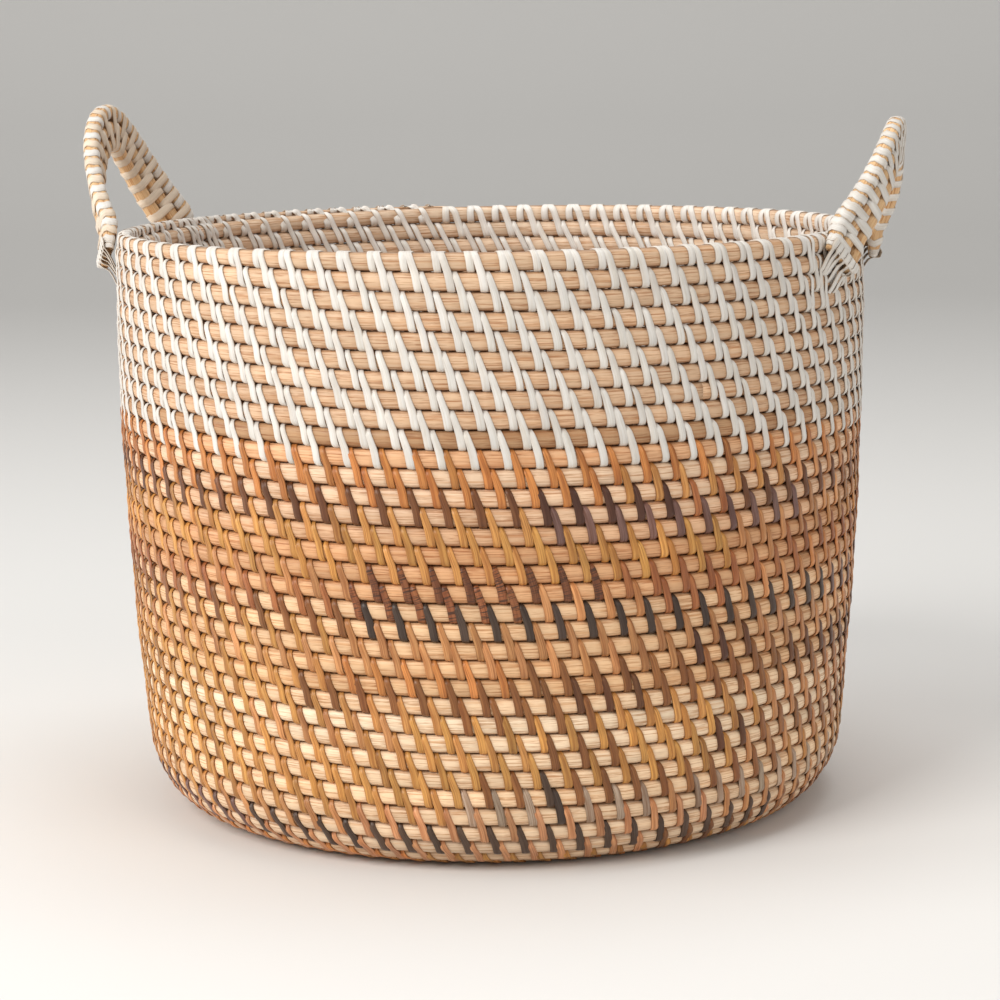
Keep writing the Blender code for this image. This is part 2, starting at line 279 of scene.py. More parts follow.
def coil(winding):
    """The cane at a winding: centre, outward and rimward directions, and half sizes along them."""
    turn = climb(winding)
    s = np.clip((TURNS - turn) * PITCH, 0.0, PROFILE_S[-1])
    r = np.interp(s, PROFILE_S, PROFILE_R)
    z = np.interp(s, PROFILE_S, PROFILE_Z)
    slope = np.interp(s, PROFILE_S, PROFILE_SLOPE)
    full = np.ones_like(turn)
    last = turn > TURNS
    full = np.where(last, np.maximum(1 - (turn - TURNS), SMALLEST_SHARE), full)
    z = np.where(last, HEIGHT - CANE * full / 2, z)
    first = turn < FIRST_TURN + 1
    full = np.where(first, np.maximum(turn - FIRST_TURN, SMALLEST_SHARE), full)
    r = np.where(first, KNOT_RADIUS + PITCH * full / 2, r)
    wobble = sum(share * np.sin(rate * winding + start) for share, rate, start in WOBBLE_WAVES)
    r = r - (SKIN - WOBBLE * wobble) * np.cos(slope)
    z = z * (HEIGHT - RIM_DROP) / HEIGHT + SKIN * np.sin(slope)
    azimuth = -2 * np.pi * winding
    outward = vectors(azimuth, np.cos(slope), -np.sin(slope))
    rimward = vectors(azimuth, np.sin(slope), np.cos(slope))
    thick = (WALL_HALF + (BASE_HALF - WALL_HALF) * np.sin(slope) ** 2) * full
    wide = (PITCH / 2 * COIL_FILL) * full
    return vectors(azimuth, r, z), outward, rimward, thick, wide


def stitches_per_turn(winding):
    """Fewer stitches fit on the small turns of the base."""
    turn = climb(winding)
    return np.select([turn >= step for step in BASE_STEPS], BASE_SHARES, CENTRE_SHARE) * STITCHES


def stitch_windings():
    """Where every stitch starts, from the centre of the base to one turn past the end of the rim cane."""
    found = []
    winding = FIRST_STITCH
    while winding < BASE_END:
        found.append(winding)
        winding += 1 / float(stitches_per_turn(np.array(winding)))
    first = np.ceil((BASE_END + 0.05) * STITCHES)
    last = np.floor((END_WINDING + 0.99) * STITCHES)
    wall = np.arange(first, last) / STITCHES
    return np.concatenate([found, wall])


# ---- meshes

def new_mesh(name, points, loops, starts, grain, tint, material, body="root"):
    """A mesh piece from points, loops and face starts, with grain coordinates and a tint on each point."""
    mesh = bpy.data.meshes.new(name)
    mesh.vertices.add(points.size // 3)
    mesh.vertices.foreach_set("co", points.astype(np.float32).ravel())
    mesh.loops.add(len(loops))
    mesh.loops.foreach_set("vertex_index", loops.astype(np.int32))
    mesh.polygons.add(len(starts))
    mesh.polygons.foreach_set("loop_start", starts.astype(np.int32))
    mesh.update(calc_edges=True)
    mesh.polygons.foreach_set("use_smooth", np.ones(len(starts), bool))
    mesh.attributes.new("grain", "FLOAT_VECTOR", "POINT")
    mesh.attributes["grain"].data.foreach_set("vector", grain.astype(np.float32).ravel())
    mesh.attributes.new("tint", "FLOAT_COLOR", "POINT")
    mesh.attributes["tint"].data.foreach_set("color", tint.astype(np.float32).ravel())
    mesh.materials.append(material)
    piece = bpy.data.objects.new(name, mesh)
    bpy.context.scene.collection.objects.link(piece)
    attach(piece, body)
    return piece


def swept_faces(count, rings, sides):
    """Loops and face starts of count closed tubes of rings x sides points, capped at both ends."""
    base = np.arange(count)[:, None, None] * rings * sides
    ring = np.arange(rings - 1)[None, :, None] * sides
    side = np.arange(sides)[None, None, :]
    after = (side + 1) % sides
    here = base + ring
    corners = [here + side, here + after, here + sides + after, here + sides + side]
    quads = np.stack(np.broadcast_arrays(*corners), axis=-1).reshape(-1)
    flat = np.arange(sides)
    near = (base[..., 0] + flat[::-1]).reshape(-1)
    far = (base[..., 0] + (rings - 1) * sides + flat).reshape(-1)
    quad_starts = np.arange(len(quads) // 4) * 4
    cap_starts = len(quads) + np.arange(2 * count) * sides
    return np.concatenate([quads, near, far]), np.concatenate([quad_starts, cap_starts])


# A strip's section, in half widths across and thicknesses up
STRIP_SECTION = np.array([
    (-1.0, 0.0), (-1.0, 0.5), (-0.80, 0.88), (0.0, 1.0), (0.80, 0.88), (1.0, 0.5), (1.0, 0.0)])


def unit(v):
    """Vectors made one long."""
    return v / np.maximum(np.linalg.norm(v, axis=-1, keepdims=True), 1e-12)


def make_strips(name, path, normal, width, thick, tints, material):
    """Flat strips with a slightly domed face. path and normal are (strips, points, 3)."""
    count, rings = path.shape[:2]
    tangent = unit(np.gradient(path, axis=1))
    across = unit(np.cross(normal, tangent))
    out = unit(np.cross(tangent, across))
    x = STRIP_SECTION[:, 0][None, None, :, None]
    y = STRIP_SECTION[:, 1][None, None, :, None]
    half = (np.broadcast_to(width, (count, rings)) / 2)[:, :, None, None]
    high = np.broadcast_to(thick, (count, rings))[:, :, None, None]
    points = path[:, :, None] + across[:, :, None] * x * half + out[:, :, None] * y * high
    steps = np.linalg.norm(np.diff(path, axis=1), axis=-1)
    along = np.concatenate([np.zeros((count, 1)), np.cumsum(steps, axis=1)], axis=1)
    along = along + np.arange(count)[:, None] * STRIP_STEP[0]
    offset = (np.arange(count) * STRIP_STEP[1] % 1.0)[:, None, None]
    sideways = x[..., 0] * half[..., 0] + offset
    through = y[..., 0] * high[..., 0] + offset
    grain = np.stack(np.broadcast_arrays(along[:, :, None], sideways, through), axis=-1)
    # painted shade: darkest at the bottom of a strip's sides, where it lies on the cane
    edge_shadow = (np.abs(STRIP_SECTION[:, 0]) * (1 - STRIP_SECTION[:, 1]))[:, None]
    shade = np.ones((len(STRIP_SECTION), 4))
    shade[:, :3] -= edge_shadow * (1 - np.array(STRIP_EDGE_SHADE))
    tint = np.broadcast_to(tints[:, None, None, :] * shade, points.shape[:3] + (4,))
    loops, starts = swept_faces(count, rings, len(STRIP_SECTION))
    return new_mesh(name, points, loops, starts, grain, tint, material)


def make_tube(name, centre, one, other, half_one, half_other, sides, tones, material, inner=None):
    """One cane on a row of centres, with the directions and half sizes of its section there.

    A coil of the basket has inner, a factor of painted light that makes its inside faces paler, and gets
    painted shade at its seams too.
    """
    rings = len(centre)
    angle = 2 * np.pi * np.arange(sides) / sides
    place = section(angle)[0]
    c = place[0][None, :, None]
    s = place[1][None, :, None]
    first = one[:, None] * c * half_one[:, None, None]
    second = other[:, None] * s * half_other[:, None, None]
    points = centre[:, None] + first + second
    steps = np.linalg.norm(np.diff(centre, axis=0), axis=-1)
    along = np.concatenate([[0.0], np.cumsum(steps)])
    sideways = c[..., 0] * half_one[:, None]
    through = s[..., 0] * half_other[:, None]
    grain = np.stack(np.broadcast_arrays(along[:, None], sideways, through), axis=-1)
    shade = np.ones((sides, 4))
    if inner is not None:
        # painted shade at the seams: dark at the lower edge, lighter at the upper one
        low_fade, high_fade = SEAM_SHADE_FADES
        low = np.clip((-np.sin(angle) - low_fade[0]) / low_fade[1], 0, 1)
        high = np.clip((np.sin(angle) - high_fade[0]) / high_fade[1], 0, 1)
        shade[:, :3] -= (low + UPPER_SEAM_SHADE * high)[:, None] * (1 - np.array(PAINTED_SEAM_SHADE))
        # painted light: the faces inside the basket are made paler
        within = np.clip(-2 * np.cos(angle), 0, 1)[:, None]
        shade[:, :3] *= 1 + within * (np.array(inner) - 1)
    tint = np.clip(tones[:, None] * shade[None], 0, 1)
    loops, starts = swept_faces(1, rings, sides)
    return new_mesh(name, points, loops, starts, grain, tint, material)


# ---- materials

def node(tree, kind, **inputs):
    """A shader node with values set on its inputs."""
    made = tree.nodes.new(kind)
    for name, value in inputs.items():
        made.inputs[name.replace("_", " ")].default_value = value
    return made


def attribute(tree, name):
    """A node that reads one of the values stored on a mesh's points."""
    made = tree.nodes.new("ShaderNodeAttribute")
    made.attribute_name = name
    return made


def stretched_noise(tree, grain, scale, detail=3.0, roughness=0.55):
    """Noise drawn out along the cane: scale is cycles per metre along, across and through it."""
    mapping = node(tree, "ShaderNodeMapping", Scale=scale)
    noise = node(tree, "ShaderNodeTexNoise", Scale=1.0, Detail=detail, Roughness=roughness)
    tree.links.new(grain.outputs["Vector"], mapping.inputs["Vector"])
    tree.links.new(mapping.outputs["Vector"], noise.inputs["Vector"])
    return noise.outputs["Fac"]


def ranged(tree, value, low, high, to_low, to_high):
    """Maps low to high onto another range, and stays in it."""
    made = tree.nodes.new("ShaderNodeMapRange")
    made.inputs["From Min"].default_value = low
    made.inputs["From Max"].default_value = high
    made.inputs["To Min"].default_value = to_low
    made.inputs["To Max"].default_value = to_high
    tree.links.new(value, made.inputs["Value"])
    return made.outputs["Result"]


def blended(tree, blend, factor, first, second):
    """Mixes two colours: each may be a socket or a constant."""
    made = tree.nodes.new("ShaderNodeMix")
    made.data_type = "RGBA"
    made.blend_type = blend
    # by number, because the colour sockets share their names with others
    for index, value in ((0, factor), (6, first), (7, second)):
        socket = made.inputs[index]
        if isinstance(value, (float, tuple)):
            socket.default_value = value
        else:
            tree.links.new(value, socket)
    return made.outputs[2]


def start_material(name, roughness, specular):
    """A new material with its node tree and its shader."""
    material = bpy.data.materials.new(name)
    material.use_nodes = True
    tree = material.node_tree
    shader = tree.nodes["Principled BSDF"]
    shader.inputs["Roughness"].default_value = roughness
    shader.inputs["Specular IOR Level"].default_value = specular
    return material, tree, shader


def add_bump(tree, shader, height, strength, distance):
    """Fine relief that only the shading shows."""
    bump = tree.nodes.new("ShaderNodeBump")
    bump.inputs["Strength"].default_value = strength
    bump.inputs["Distance"].default_value = distance
    tree.links.new(height, bump.inputs["Height"])
    tree.links.new(bump.outputs["Normal"], shader.inputs["Normal"])


def cane_material(name):
    """Rattan core: pale, with fine reddish fibres along it and slow changes of tone."""
    material, tree, shader = start_material(name, 0.42, 0.28)
    grain = attribute(tree, "grain")
    tint = attribute(tree, "tint").outputs["Color"]
    fibres = stretched_noise(tree, grain, (45.0, 1500.0, 1500.0))
    threads = stretched_noise(tree, grain, (22.0, 620.0, 620.0), detail=2.0)
    clouds = stretched_noise(tree, grain, (28.0, 130.0, 130.0))
    lines = ranged(tree, fibres, 0.50, 0.66, 0.0, 0.85)
    bands = ranged(tree, threads, 0.52, 0.70, 0.0, 0.65)
    pale = ranged(tree, clouds, 0.3, 0.7, 0.86, 1.10)
    fibre_tone = blended(tree, "MULTIPLY", 1.0, tint, (0.54, 0.34, 0.21, 1.0))
    band_tone = blended(tree, "MULTIPLY", 1.0, tint, (0.80, 0.60, 0.44, 1.0))
    colour = blended(tree, "MIX", lines, tint, fibre_tone)
    colour = blended(tree, "MIX", bands, colour, band_tone)
    colour = blended(tree, "MULTIPLY", 1.0, colour, pale)
    tree.links.new(colour, shader.inputs["Base Color"])
    matt = ranged(tree, fibres, 0.3, 0.7, 0.34, 0.52)
    tree.links.new(matt, shader.inputs["Roughness"])
    add_bump(tree, shader, fibres, 0.35, 0.0002)
    return material


def peel_material(name, roughness, streaks, warm):
    """Rattan peel: a hard skin with fine lengthwise streaks. A tint's alpha adds dark cross ribs."""
    material, tree, shader = start_material(name, roughness, 0.38)
    grain = attribute(tree, "grain")
    tint_node = attribute(tree, "tint")
    tint = tint_node.outputs["Color"]
    fine = stretched_noise(tree, grain, (50.0, 2300.0, 600.0))
    broad = stretched_noise(tree, grain, (22.0, 430.0, 200.0), detail=2.0)
    clouds = stretched_noise(tree, grain, (70.0, 220.0, 120.0))
    ribs = stretched_noise(tree, grain, (1700.0, 120.0, 60.0), detail=1.0)
    lines = ranged(tree, fine, 0.47, 0.64, 0.0, streaks)
    bands = ranged(tree, broad, 0.47, 0.60, 0.0, streaks * 0.75)
    pale = ranged(tree, clouds, 0.3, 0.7, 0.88, 1.08)
    dark = blended(tree, "MULTIPLY", 1.0, tint, warm)
    colour = blended(tree, "MIX", lines, tint, dark)
    colour = blended(tree, "MIX", bands, colour, dark)
    colour = blended(tree, "MULTIPLY", 1.0, colour, pale)
    rib_mask = tree.nodes.new("ShaderNodeMath")
    rib_mask.operation = "MULTIPLY"
    tree.links.new(ranged(tree, ribs, 0.50, 0.60, 0.0, 1.0), rib_mask.inputs[0])
    tree.links.new(ranged(tree, tint_node.outputs["Alpha"], 1.0, 0.0, 0.0, 1.0), rib_mask.inputs[1])
    colour = blended(tree, "MIX", rib_mask.outputs["Value"], colour, (0.045, 0.020, 0.011, 1.0))
    tree.links.new(colour, shader.inputs["Base Color"])
    matt = ranged(tree, fine, 0.3, 0.7, roughness - 0.08, roughness + 0.12)
    tree.links.new(matt, shader.inputs["Roughness"])
    add_bump(tree, shader, fine, 0.30, 0.00015)
    return material


# ---- canes

def core_tone(winding):
    """Tone of the core at a winding, with a slow drift along the cane."""
    row = TURNS - np.floor(winding)
    rows = np.array(sorted(CORE))
    tones = np.array([CORE[k] for k in sorted(CORE)])
    tone = np.stack([np.interp(row, rows, tones[:, k]) for k in range(3)], axis=-1)
    drift = 1 + 0.05 * np.sin(winding * 9.1) + 0.035 * np.sin(winding * 23.7 + 1.3)
    tone = tone * drift[:, None]
    return np.concatenate([np.clip(tone, 0, 1), np.ones((len(tone), 1))], axis=1)


def make_core(name, first, last, material):
    """The visible cane of one CAD cane node, squeezed where the stitches cross it, and darker there with
    painted shade.
    """
    rings = 4 if last > BASE_STEPS[0] else 2
    count = max(int((last - first) * STITCHES * rings), 8)
    winding = np.linspace(first, last, count + 1)
    centre, outward, rimward, thick, wide = coil(winding)
    phase = 2 * np.pi * (winding * stitches_per_turn(winding) - 0.03)
    under = 0.5 + 0.5 * np.cos(phase)
    squeeze = 1 - PINCH * under
    tones = core_tone(winding)
    # painted shade: the cane is darker where each stitch crosses it
    tones[:, :3] *= 1 - (under ** 2)[:, None] * (1 - np.array(UNDER_STITCH_SHADE))
    high = wide * (0.5 + 0.5 * squeeze)
    # painted light on the inside faces and painted shade at the seams, added in make_tube
    return make_tube(name, centre, outward, rimward, thick * squeeze, high, CANE_SIDES, tones, material,
                     INSIDE_PAINTED_LIGHT)


def make_cores(material):
    """The spiral, cut where the CAD canes are."""
    edges = [START_WINDING, *BASE_SPLICES, BASE_TURNS]
    for number, (first, last) in enumerate(zip(edges, edges[1:]), 1):
        piece = make_core(f"base_core_{number:02d}", first, last, material)
        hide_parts(f"base_cane_{number:02d}")
    span = (RIM_START - BASE_TURNS) / WALL_CANES
    edges = [round((BASE_TURNS + span * i) * CAD_STEPS) / CAD_STEPS for i in range(WALL_CANES + 1)]
    for number, (first, last) in enumerate(zip(edges, edges[1:]), 1):
        piece = make_core(f"wall_core_{number:02d}", first, last, material)
        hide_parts(f"wall_cane_{number:02d}")
    piece = make_core("rim_core", RIM_START, END_WINDING, material)
    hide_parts("rim_cane")


# ---- stitches

def upper_angles(over_rim):
    """Angles round the upper coil, from the seam above it, or from the top of the rim, to its crown."""
    if over_rim:
        return np.radians([102, 88, 70, 50, 28, 8])
    return np.radians([86, 72, 57, 40, 23, 7])


LOWER_ANGLES = -np.radians([7, 23, 40, 57, 72, 86])
BETWEEN = np.array([0.25, 0.5, 0.75])


def outer_run(d):
    """Sideways run of a stitch on the outer face, in windings times stitches, at a place d from 0 to 2."""
    return STITCH_SHIFT * (1 - (1 - np.clip(d, 0, 2) / 2) ** STITCH_CURVE)


def inner_run(d):
    """The same on the inner face, where the strip goes on to the start of the next stitch."""
    return 1 + (STITCH_SHIFT - 1) * np.clip(d, 0, 2) / 2


def steep_run(d):
    """Extra stitches beside the handles go nearly straight down."""
    return STEEP_SHIFT * np.clip(d, 0, 2) / 2


def rim_inner_run(d):
    """Inside the rim a long wrap comes from the start of the next short one, then bends away from it."""
    return np.interp(d, [0, 0.35, 1, 2], [0.827, 0.66, 0.52, STITCH_SHIFT])


def short_inner_run(d):
    """A short wrap comes from the start of the next long one."""
    return np.interp(d, [1, 1.35, 2], [0.405, 0.45, 0.41])


def on_coil(winding, face, theta, lift):
    """Points on one face of the coils at angles theta, directions out of them, crowns and facing there."""
    centre, outward, rimward, thick, wide = coil(winding)
    place, out = section(theta)
    facing = face * outward
    direction = facing * out[0][None, :, None] + rimward * out[1][None, :, None]
    reach_out = (thick + lift) * place[0]
    reach_up = (wide + lift) * place[1]
    spots = centre + facing * reach_out[..., None] + rimward * reach_up[..., None]
    return spots, direction, centre + facing * (thick + lift)[..., None], facing


def stitch_paths(starts, run, face, over_rim, lift):
    """Paths and normals of stitches over two coils, and the place d of each point.

    face is 1 outside and -1 inside. d is 0 in the seam above the upper coil and 2 in the one below the lower.
    """
    upper = upper_angles(over_rim)
    d = np.concatenate([0.5 - 0.5 * np.sin(upper), 0.5 + BETWEEN, 1.5 - 0.5 * np.sin(LOWER_ANGLES)])
    theta = np.concatenate([upper, np.zeros(len(BETWEEN)), LOWER_ANGLES])
    winding = starts[:, None] - run(d)[None] / stitches_per_turn(starts)[:, None]
    upper_spots, upper_normal, upper_crown, facing = on_coil(winding, face, theta, lift)
    lower_spots, lower_normal, lower_crown, _ = on_coil(winding - 1, face, theta, lift)
    # from crown to crown the strip hangs free, and sags a little
    between = np.zeros(len(d))
    between[len(upper):len(upper) + len(BETWEEN)] = BETWEEN
    sag = DIP * np.sin(np.pi * between) ** 2
    middle = upper_crown * (1 - between)[None, :, None] + lower_crown * between[None, :, None]
    middle = middle - facing * sag[None, :, None]
    which = np.repeat([0, 1, 2], [len(upper), len(BETWEEN), len(LOWER_ANGLES)])[None, :, None]
    path = np.where(which == 0, upper_spots, np.where(which == 1, middle, lower_spots))
    normal = np.where(which == 0, upper_normal, np.where(which == 1, facing, lower_normal))
    return path, normal, d


def short_paths(starts, run, face):
    """Short wraps round the rim cane alone: from the top of the rim to the seam under it."""
    theta = np.concatenate([upper_angles(True), LOWER_ANGLES])
    d = 1.5 - 0.5 * np.sin(theta)
    winding = starts[:, None] - run(d)[None] / stitches_per_turn(starts)[:, None]
    return on_coil(winding - 1, face, theta, SUNK)[:2]


def even_tints(count, shade):
    """The same tint for every strip."""
    tints = np.ones((count, 4))
    tints[:, :3] = shade
    return tints


def varied_tints(count, shade, spread):
    """A tint for each strip, a little lighter or darker than the shade."""
    return even_tints(count, shade * (1 + spread * rng.standard_normal((count, 1))))


def stitch_colours(starts):
    """Tint of each stitch by its coil and azimuth, with runs cut from one strip sharing a tone."""
    names = []
    azimuth = (-360 * (starts - np.floor(starts)) + 180) % 360 - 180
    row = (TURNS - np.floor(starts)).astype(int)
    tint = np.ones((len(starts), 4))
    left = 0
    name = "honey"
    drift = 1.0
    for k in range(len(starts)):
        if left <= 0:
            left = int(rng.integers(*RUN_LENGTHS))
            name = COMMON[int(rng.integers(len(COMMON)))]
            drift = 1 + 0.07 * rng.standard_normal()
        left -= 1
        chosen = name
        if starts[k] > WHITE_START:
            chosen = "white"
        elif row[k] in ROWS and azimuth[k] < PLAN_END:
            chosen = [colour for begin, colour in ROWS[row[k]] if azimuth[k] >= begin][-1]
        kind = "white" if chosen == "white" else "brown"
        tone = PEEL[chosen] * drift ** DRIFT_POWER[kind]
        spread = TONE_SPREAD[kind]
        tone = tone * (1 + spread * rng.standard_normal()) * (1 + spread * 0.10 * rng.standard_normal(3))
        tint[k, :3] = np.clip(tone, 0.01, 0.92)
        tint[k, 3] = RIBBED_ALPHA if chosen == "ribbed" else 1.0
        names.append(chosen)
    return tint, np.array(names)


def outer_width(d, jitter):
    """Narrow where a stitch comes out of the wall beside the one above, wider where it goes back in."""
    grow = np.clip(d / 1.1, 0, 1)
    return (STITCH_WIDTHS[0] + STITCH_WIDTHS[1] * grow ** 0.8)[None] * MM * jitter[:, None]


def stitch_pieces(label, starts, tints, white, peel, bleach):
    """Pieces for one band of the wall: outer and inner faces, white and coloured apart."""
    for is_white, material, slot in ((True, bleach, "bleached_strip"), (False, peel, "brown_strip")):
        chosen = white == is_white
        if not chosen.any():
            continue
        kind = "white" if is_white else "brown"
        band = starts[chosen]
        jitter = 1 + 0.045 * rng.standard_normal(len(band))
        wander = 0.018 * rng.standard_normal(len(band)) / stitches_per_turn(band)
        path, normal, d = stitch_paths(band + wander, outer_run, 1, False, SUNK)
        width = outer_width(d, jitter)
        name = f"stitches_{label}_{kind}_outside"
        piece = make_strips(name, path, normal, width, STRIP, tints[chosen], material)
        path, normal, _ = stitch_paths(band + wander, inner_run, -1, False, SUNK)
        width = (INSIDE_WIDTH * MM * jitter)[:, None]
        # painted light: white strips on the inner face are made brighter
        inside = tints[chosen] * (INSIDE_WHITE_PAINTED_LIGHT if is_white else 1.0)
        name = f"stitches_{label}_{kind}_inside"
        piece = make_strips(name, path, normal, width, STRIP, inside, material)


def make_extra_stitches(starts, bleach):
    """More stitches, between the others, on the top coils beside the feet of the handles."""
    azimuth = np.abs((-360 * starts) % 180)
    from_axis = np.minimum(azimuth, 180 - azimuth)
    near = (from_axis > EXTRA_ZONE[0]) & (from_axis < EXTRA_ZONE[1])
    near &= (starts > END_WINDING - EXTRA_COILS) & (starts <= END_WINDING)
    band = starts[near] + (0.5 + 0.10 * rng.standard_normal(near.sum())) / STITCHES
    band = band[(band + 1 < END_WINDING) | (band < END_WINDING - 0.01)]
    over_rim = band + 1 > END_WINDING
    for name, chosen, top in (("top", band[over_rim], True), ("low", band[~over_rim], False)):
        tints = even_tints(len(chosen), PEEL["white"])
        for face, run, label in ((1, steep_run, "outside"), (-1, inner_run, "inside")):
            path, normal, _ = stitch_paths(chosen, run, face, top, RAISED)
            piece = make_strips(f"extra_{name}_{label}", path, normal, EXTRA_WIDTH * MM, STRIP, tints, bleach)


def make_stitches(peel, bleach):
    """All stitches, band by band, and the wraps over the rim."""
    starts = stitch_windings()
    tints, names = stitch_colours(starts)
    white = names == "white"
    long_top = (starts + 1 > END_WINDING) & (starts <= END_WINDING)
    short_top = starts > END_WINDING
    plain = ~(long_top | short_top)
    for number, (low, high) in enumerate(zip(BANDS, BANDS[1:]), 1):
        chosen = plain & (starts >= low) & (starts < high)
        if chosen.any():
            part = "base" if high <= BASE_END else "wall"
            stitch_pieces(f"{part}_{number:02d}", starts[chosen], tints[chosen], white[chosen], peel, bleach)
    band = starts[long_top]
    for face, run, label in ((1, outer_run, "outside"), (-1, rim_inner_run, "inside")):
        # painted light: the long wraps are made brighter on the inner face
        bleached = tints[long_top] * (1.0 if face > 0 else INSIDE_WHITE_PAINTED_LIGHT)
        path, normal, d = stitch_paths(band, run, face, True, SUNK)
        width = LONG_INSIDE_WIDTH * MM
        if face > 0:
            width = outer_width(np.maximum(d, 0.7), np.ones(len(band)))
        piece = make_strips(f"rim_wraps_long_{label}", path, normal, width, STRIP, bleached, bleach)
    make_extra_stitches(starts, bleach)
    band = starts[short_top]
    for face, run, label in ((1, outer_run, "outside"), (-1, short_inner_run, "inside")):
        # painted light: the short wraps are made brighter on the inner face
        bleached = tints[short_top] * (1.0 if face > 0 else INSIDE_WHITE_PAINTED_LIGHT)
        path, normal = short_paths(band, run, face)
        width = SHORT_WIDTHS[label] * MM
        piece = make_strips(f"rim_wraps_short_{label}", path, normal, width, STRIP, bleached, bleach)


# ---- centre of the base

def make_knot(material, peel):
    """A ring of cane wrapped with strips through its middle, where the coil starts."""
    radius = KNOT_RADIUS / 2
    height = CANE / 2 + SKIN
    rings = 40
    sides = 12
    azimuth = np.linspace(0, 2 * np.pi, rings)
    zero = np.zeros(rings)
    centre = vectors(azimuth, np.full(rings, radius), np.full(rings, height))
    out = vectors(azimuth, np.ones(rings), zero)
    up = vectors(azimuth, zero, np.ones(rings))
    half = np.full(rings, BASE_HALF)
    tones = core_tone(np.full(rings, 1.0))
    piece = make_tube("base_centre_ring", centre, up, out, half, half, sides, tones, material)
    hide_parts("base_centre_knot")
    count = 14
    turn = 2 * np.pi * (np.arange(count) + 0.5) / count
    theta = np.radians(np.linspace(-170, 170, 18))
    lift = BASE_HALF + SUNK
    slant = 0.25 * theta / np.pi
    spots = turn[:, None] + slant[None]
    outward, upward = np.broadcast_arrays(np.cos(theta)[None], np.sin(theta)[None], spots)[:2]
    path = vectors(spots, radius + lift * outward, height + lift * upward)
    normal = vectors(spots, outward, upward)
    # narrow in the small hole of the ring, and wide round its outside
    narrow, gain = KNOT_WIDTHS
    width = (narrow + gain * (0.5 + 0.5 * np.cos(theta)))[None] * MM
    tints = even_tints(count, PEEL["honey"])
    piece = make_strips("base_centre_wraps", path, normal, width, KNOT_STRIP, tints, peel)


# ---- handles

def strap_frame(rise, offset, angle, along_foot):
    """Place along the rim and height over it of a cane, offset from the strap's middle, on the flat arch."""
    side = np.where(np.cos(angle) > 0, 1.0, -1.0)
    u = HANDLE_HALF_SPAN * np.cos(angle)
    w = rise * np.sin(angle) ** ARCH_POWER - HANDLE_SINK
    slope_u = -HANDLE_HALF_SPAN * np.sin(angle)
    slope_w = rise * ARCH_POWER * np.sin(angle) ** (ARCH_POWER - 1) * np.cos(angle)
    length = np.hypot(slope_u, slope_w)
    du = slope_u / length
    dw = slope_w / length
    return u + dw * offset - side * du * along_foot, w - du * offset - side * dw * along_foot


def clear_of_wall(radius, height, thickness):
    """Keeps a cane of the handle, with its strips, outside the wall and the rim."""
    room = thickness / 2 + STRIP
    centre = HEIGHT - CANE / 2
    drop = height - centre
    over = RIM_RADIUS - CANE / 2 + np.sqrt(np.maximum((CANE / 2 + room) ** 2 - drop ** 2, 0.0))
    return np.maximum(radius, np.where(drop < 0, wall_radius(height) + room, over))


def strap_point(rise, offset, angle, along_foot, thickness):
    """Centre of a cane: the flat arch bent round the basket and leant outwards."""
    u, w = strap_frame(rise, offset, angle, along_foot)
    middle_w = strap_frame(rise, 0.0, angle, along_foot)[1]
    share = np.clip(middle_w / (rise - HANDLE_SINK), 0, 1)
    twist = LEAN_TWIST[0] + LEAN_TWIST[1] * share
    radius = HANDLE_RADIUS + LEAN_OUT[0] * share + LEAN_OUT[1] * share ** 2 + offset * np.sin(twist)
    radius = clear_of_wall(radius, HEIGHT + w, thickness)
    azimuth = u / HANDLE_RADIUS
    return vectors(azimuth, radius, HEIGHT + w)


class Strap:
    """The three canes of one handle as a function of the distance along its middle line."""

    def __init__(self, rise, side, foot_samples=16, arch_samples=121):
        feet = np.linspace(FOOT_LENGTH, 0, foot_samples, endpoint=False)
        arch = np.linspace(ARCH_START, np.pi - ARCH_START, arch_samples)
        first = np.full(foot_samples, ARCH_START)
        angle = np.concatenate([first, arch, np.pi - first])
        foot = np.concatenate([feet, np.zeros(arch_samples), feet[::-1]])
        self.share = 1 - (1 - FOOT_TAPER) * foot / FOOT_LENGTH
        thickness = HANDLE_CANE * self.share
        offsets = (HANDLE_PITCH, 0.0, -HANDLE_PITCH)
        turn = np.array([side, side, 1.0])
        self.canes = [self.smooth(strap_point(rise, k, angle, foot, thickness)) * turn for k in offsets]
        steps = np.linalg.norm(np.diff(self.canes[1], axis=0), axis=-1)
        self.s = np.concatenate([[0.0], np.cumsum(steps)])
        self.length = self.s[-1]

    @staticmethod
    def smooth(points, times=3):
        """Rounds the corner between foot and arch."""
        for _ in range(times):
            points = points.copy()
            points[1:-1] = (points[:-2] + 2 * points[1:-1] + points[2:]) / 4
        return points

    def at(self, values, s):
        """Values of the sampled points, at a distance s along the strap."""
        return np.stack([np.interp(s, self.s, values[:, k]) for k in range(3)], axis=-1)

    def frame(self, s):
        """Centres of the three canes, the across and face directions, and the share of full size at s."""
        outer, middle, inner = (self.at(cane, s) for cane in self.canes)
        step = 0.4 * MM
        along = unit(self.at(self.canes[1], s + step) - self.at(self.canes[1], s - step))
        across = outer - inner
        across = unit(across - along * np.sum(across * along, axis=-1, keepdims=True))
        face = unit(np.cross(across, along))
        outward = middle * np.array([1.0, 1.0, 0.0])
        flip = np.where(np.sum(face * outward, axis=-1, keepdims=True) < 0, -1.0, 1.0)
        share = np.interp(s, self.s, self.share)
        return (outer, middle, inner), across, face * flip, share


# For each kind of wrap: the canes it goes round, where 0 is the outer one, and its angles round each
CANE_OF_WRAP = {
    "short": ((0, (-78, -55, -30, -8)), (0, (20, 55, 90, 125, 160)), (0, (188, 210, 235, 258))),
    "long": ((1, (-78, -55, -30, -6)), (0, (6, 40, 75, 105, 140, 174)), (1, (186, 210, 235, 258))),
    "inner": ((1, (78, 55, 30, 6)), (2, (-6, -40, -75, -105, -140, -174)), (1, (-186, -210, -235, -258))),
}


